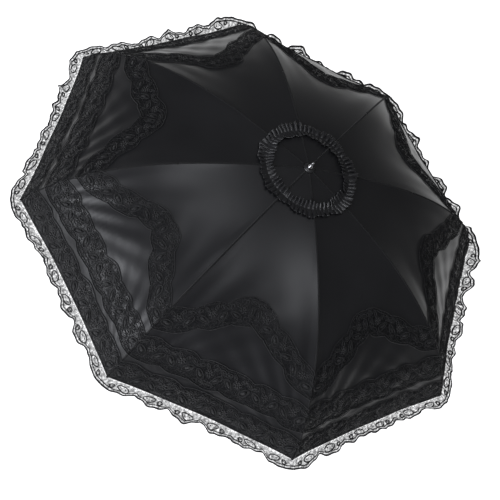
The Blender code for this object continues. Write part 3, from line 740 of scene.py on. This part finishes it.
def repeat_group():
    """Lays mirrored copies of a tile side by side along x."""
    group = bpy.data.node_groups.new("lace_repeat", "GeometryNodeTree")
    face = group.interface
    face.new_socket("Geometry", in_out="INPUT", socket_type="NodeSocketGeometry")
    face.new_socket("Tile", in_out="INPUT", socket_type="NodeSocketObject")
    face.new_socket("Pairs", in_out="INPUT", socket_type="NodeSocketInt").default_value = 3
    face.new_socket("Pitch", in_out="INPUT", socket_type="NodeSocketFloat")
    face.new_socket("Thread", in_out="INPUT", socket_type="NodeSocketMaterial")
    face.new_socket("Geometry", in_out="OUTPUT", socket_type="NodeSocketGeometry")
    link = group.links.new
    start, end = group.nodes.new("NodeGroupInput"), group.nodes.new("NodeGroupOutput")
    tile = group.nodes.new("GeometryNodeObjectInfo")
    link(start.outputs["Tile"], tile.inputs["Object"])
    double = node(group, "ShaderNodeMath", operation="MULTIPLY")
    double.inputs[1].default_value = 2.0
    link(start.outputs["Pitch"], double.inputs[0])
    offset = group.nodes.new("ShaderNodeCombineXYZ")
    link(double.outputs[0], offset.inputs["X"])
    half = node(group, "ShaderNodeMath", operation="MULTIPLY")
    link(start.outputs["Pairs"], half.inputs[0])
    half.inputs[1].default_value = -1.0
    first = node(group, "ShaderNodeMath", operation="MULTIPLY")
    link(half.outputs[0], first.inputs[0])
    link(start.outputs["Pitch"], first.inputs[1])
    both = group.nodes.new("GeometryNodeJoinGeometry")
    for shift, flip in ((0.0, 1.0), (2.0, -1.0)):
        begin = node(group, "ShaderNodeMath", operation="MULTIPLY_ADD")
        link(start.outputs["Pitch"], begin.inputs[0])
        begin.inputs[1].default_value = shift
        link(first.outputs[0], begin.inputs[2])
        place = group.nodes.new("ShaderNodeCombineXYZ")
        link(begin.outputs[0], place.inputs["X"])
        line = group.nodes.new("GeometryNodeMeshLine")
        link(start.outputs["Pairs"], line.inputs["Count"])
        link(place.outputs[0], line.inputs["Start Location"])
        link(offset.outputs[0], line.inputs["Offset"])
        put = group.nodes.new("GeometryNodeInstanceOnPoints")
        link(line.outputs["Mesh"], put.inputs["Points"])
        link(tile.outputs["Geometry"], put.inputs["Instance"])
        put.inputs["Scale"].default_value = (flip, 1.0, 1.0)
        real = group.nodes.new("GeometryNodeRealizeInstances")
        link(put.outputs["Instances"], real.inputs["Geometry"])
        out = real.outputs["Geometry"]
        if flip < 0:
            turn = group.nodes.new("GeometryNodeFlipFaces")
            link(out, turn.inputs["Mesh"])
            out = turn.outputs["Mesh"]
        link(out, both.inputs["Geometry"])
    paint = group.nodes.new("GeometryNodeSetMaterial")
    link(both.outputs["Geometry"], paint.inputs["Geometry"])
    link(start.outputs["Thread"], paint.inputs["Material"])
    link(paint.outputs["Geometry"], end.inputs["Geometry"])
    return group


REPEAT = repeat_group()


def flat_strip(kind):
    """A petal's run of lace laid flat: x across from -3 to 3 tile widths, y outward."""
    found = []
    for tile, material in lace_tile(kind):
        bpy.context.collection.objects.link(tile)
        holder = bpy.data.objects.new("strip", bpy.data.meshes.new("strip"))
        bpy.context.collection.objects.link(holder)
        modifier = holder.modifiers.new("repeat", "NODES")
        modifier.node_group = REPEAT
        sockets = {i.name: i.identifier for i in REPEAT.interface.items_tree
                   if i.in_out == "INPUT"}
        modifier[sockets["Tile"]] = tile
        modifier[sockets["Pairs"]] = TILES
        modifier[sockets["Pitch"]] = TILE_WIDTH
        modifier[sockets["Thread"]] = material
        graph = bpy.context.evaluated_depsgraph_get()
        mesh = bpy.data.meshes.new_from_object(holder.evaluated_get(graph))
        verts = np.zeros(len(mesh.vertices) * 3)
        mesh.vertices.foreach_get("co", verts)
        faces = [tuple(p.vertices) for p in mesh.polygons]
        found.append((verts.reshape(-1, 3), faces, material))
        for spare in (holder, tile):
            bpy.data.objects.remove(spare)
    return found


def band_place(kind, w, y, rib):
    """Where a strip's point lands on the cover: (s, w). Gathers make its edges waver."""
    y = y * (1 + 0.07 * wander(w, rib, 2.0)) + 0.0018 * wander(w, rib + 3, 4.0)
    if kind == "hem":
        free = smooth(y, HEM_NET_EDGE + 0.003, 0.034)
        y = y + FREE_EDGE_WAVE * wander(w, rib + 5, 7.0) * free
        round_at = FIRST_RIB + (rib + w / 2) * SECTOR
        longer = FAR_SIDE_LONGER * smooth(-np.cos(round_at - FLARE_LOW), 0.1, 0.9)
        y = y + longer * np.maximum(y + HEM_LACE_MIDDLE - COVER_LENGTH, 0.0)
        return hem_at(w) - COVER_LENGTH + HEM_LACE_MIDDLE + y, w
    if kind == "band":
        return hem_at(w) - COVER_LENGTH + SECOND_LACE_MIDDLE + y, w
    away = 1 - np.abs(w)
    climb = np.sqrt(away**2 + STAR_ROUNDING**2) - STAR_ROUNDING
    slope = away / np.sqrt(away**2 + STAR_ROUNDING**2)
    s = STAR_PEAK + STAR_DROP * climb
    per_across = -STAR_DROP * slope * np.sign(w) / half_gore(s)
    long = np.sqrt(1 + per_across**2)
    calm = smooth(np.abs(w), 0.0, 0.12)
    return s + y / long, w - calm * per_across / long * y / half_gore(s)


def over_welt(s, w):
    """Extra lift that carries a trim over the seam's welt."""
    return 0.0012 * (1 - smooth(np.abs(w) * half_gore(s), 0.0020, 0.0060))


STRIPS = {kind: flat_strip(kind) for kind in ("hem", "band", "star")}


def lace_on(rib, kind):
    """The strip wrapped on one petal, with its tulle ground as a separate fine sheet."""
    pieces = []
    for n, (verts, faces, material) in enumerate(STRIPS[kind]):
        w = verts[:, 0] / (TILES * TILE_WIDTH)
        s, w = band_place(kind, np.clip(w, -1, 1), verts[:, 1], rib)
        lift = LACE_LIFT + verts[:, 2] + (0.0002 if n else 0.0) + over_welt(s, w)
        points = turned_to(on_cover(s, w, lift, rib), rib)
        pieces.append(mesh_piece(f"{kind}_{'bloom' if n else 'net'}_{rib + 1}", points, faces,
                                 material))
    across = np.broadcast_to(np.linspace(-1, 1, 49)[None, :], (9, 49))
    outer_rim, inner_rim = rims(kind)
    x = np.abs(across) * TILES % 1.0 * TILE_WIDTH
    x = np.where(np.abs(across) >= 1, TILE_WIDTH, x)
    top, low = outer_rim(x), inner_rim(x)
    y = low + (top - low) * np.linspace(0, 1, 9)[:, None]
    s, w = band_place(kind, across, y, rib)
    raised = over_welt(s, w)
    outer = turned_to(on_cover(s, w, LACE_LIFT + raised, rib), rib)
    under = turned_to(on_cover(s, w, LACE_LIFT - TULLE_THICKNESS + raised, rib), rib)
    uv = np.stack([across * TILES * TILE_WIDTH, y], -1)
    ground = two_faced_sheet(f"{kind}_tulle_{rib + 1}", outer, under, None,
                             FREE_TULLE if kind == "hem" else TULLE, uv)
    return pieces, ground


for rib in range(RIBS):
    for kind in ("hem", "band", "star"):
        pieces, ground = lace_on(rib, kind)
        for piece in (*pieces, ground):
            sew(piece, rib, True)
        if kind == "hem":
            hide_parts(f"hem_lace_{rib + 1}")


# ---------------------------------------------------------------- the frame's finishes
def finished(name, body, material):
    """A joined, smooth-shaded copy of a frame part with its finish; it stands for the part."""
    source = frame["nodes"][name]
    bm = bmesh.new()
    bm.from_mesh(source.data)
    bmesh.ops.remove_doubles(bm, verts=bm.verts, dist=1e-6)
    mesh = bpy.data.meshes.new(f"{name}_finished")
    bm.to_mesh(mesh)
    bm.free()
    mesh.materials.clear()
    mesh.materials.append(material)
    mesh.shade_smooth()
    mesh.set_sharp_from_angle(angle=math.radians(SHARP_EDGE))
    piece = bpy.data.objects.new(f"{name}_finished", mesh)
    bpy.context.collection.objects.link(piece)
    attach(piece, body)
    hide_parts(name)
    return piece


ROOT = "shaft"
SHARP_EDGE = 62             # degrees between two faces from which their edge stays crisp
FINISHES = [("shaft", ROOT, STEEL), ("handle_grip", ROOT, LACQUER), ("handle_collar", ROOT, BRIGHT),
            ("crown", ROOT, PLASTIC), ("crown_wire", ROOT, STEEL), ("canopy_cap", ROOT, PLASTIC),
            ("ferrule", ROOT, BRIGHT), ("runner", "runner", PLASTIC),
            ("runner_wire", "runner", STEEL), ("top_catch", "top_catch", STEEL),
            ("bottom_catch", "bottom_catch", STEEL)]
for i in range(1, RIBS + 1):
    FINISHES += [(f"rib_{i}", f"rib_{i}", STEEL), (f"rod_{i}", f"rod_{i}", GLASS_ROD),
                 (f"stretcher_{i}", f"stretcher_{i}", STEEL), (f"rib_tip_{i}", f"rod_{i}", BRIGHT)]
for name, body, material in FINISHES:
    made = finished(name, body, material)


# ---------------------------------------------------------------- floor, light and camera
FLOOR_REACH, FLOOR_LEVEL = 15, -0.001


def stage_piece(name, mesh, material):
    mesh.materials.append(material)
    piece = bpy.data.objects.new(name, mesh)
    bpy.context.collection.objects.link(piece)
    return piece


floor_material, floor_tree, floor_shader = new_material("pale_floor")
set_inputs(floor_shader, {"Base Color": (0.9, 0.9, 0.9, 1), "Roughness": 0.9,
                          "Emission Color": (1, 1, 1, 1), "Emission Strength": 1.0})
floor_mesh = bpy.data.meshes.new("floor")
floor_mesh.from_pydata([(x * FLOOR_REACH, y * FLOOR_REACH, FLOOR_LEVEL)
                        for x, y in ((-1, -1), (1, -1), (1, 1), (-1, 1))], [], [(0, 1, 2, 3)])
stage_piece("floor", floor_mesh, floor_material)

world = bpy.data.worlds.new("studio")
bpy.context.scene.world = world
world.use_nodes = True
set_inputs(world.node_tree.nodes["Background"], {"Color": (1, 1, 1, 1), "Strength": 0.12})

TARGET = Vector((0, 0, APEX_Z - 0.1455))
TILT, AZIMUTH, ROLL = math.radians(40.077), math.radians(-18.64), math.radians(-40.408)
DISTANCE = 2.7487
SENSOR, LENS = 36.0, 102.50784      # millimetres
SHIFT = (-0.0529, -0.0869)
toward = Vector((math.sin(TILT) * math.cos(AZIMUTH), math.sin(TILT) * math.sin(AZIMUTH),
                 math.cos(TILT)))
level_up = (Vector((0, 0, 1)) - toward * toward.z).normalized()
level_right = level_up.cross(toward)
right = math.cos(ROLL) * level_right - math.sin(ROLL) * level_up
up = math.sin(ROLL) * level_right + math.cos(ROLL) * level_up
camera_data = bpy.data.cameras.new("camera")
camera_data.lens, camera_data.sensor_width = LENS, SENSOR
camera_data.shift_x, camera_data.shift_y = SHIFT
camera = bpy.data.objects.new("camera", camera_data)
bpy.context.collection.objects.link(camera)
camera.location = TARGET + DISTANCE * toward
camera.rotation_mode = "QUATERNION"
camera.rotation_quaternion = Matrix((right, up, toward)).transposed().to_quaternion()
bpy.context.scene.camera = camera


def soft_box(name, azimuth, height, distance, size, power):
    """A large square light aimed at the canopy: azimuth from +X and height above level, degrees."""
    turn, rise = math.radians(azimuth), math.radians(height)
    direction = Vector((math.cos(rise) * math.cos(turn), math.cos(rise) * math.sin(turn),
                        math.sin(rise)))
    data = bpy.data.lights.new(name, "AREA")
    data.shape, data.size, data.energy = "SQUARE", size, power
    data.color = (0.93, 0.95, 1.0)
    light = bpy.data.objects.new(name, data)
    bpy.context.collection.objects.link(light)
    light.location = TARGET + distance * direction
    light.rotation_mode = "QUATERNION"
    light.rotation_quaternion = (-direction).to_track_quat("-Z", "Y")


soft_box("front_box", -38, 20, 3.2, 2.0, 105)
soft_box("overhead_box", -40, 84, 2.6, 1.1, 20)
bpy.context.scene.view_settings.view_transform = "Standard"
bpy.context.scene.view_settings.look = "None"
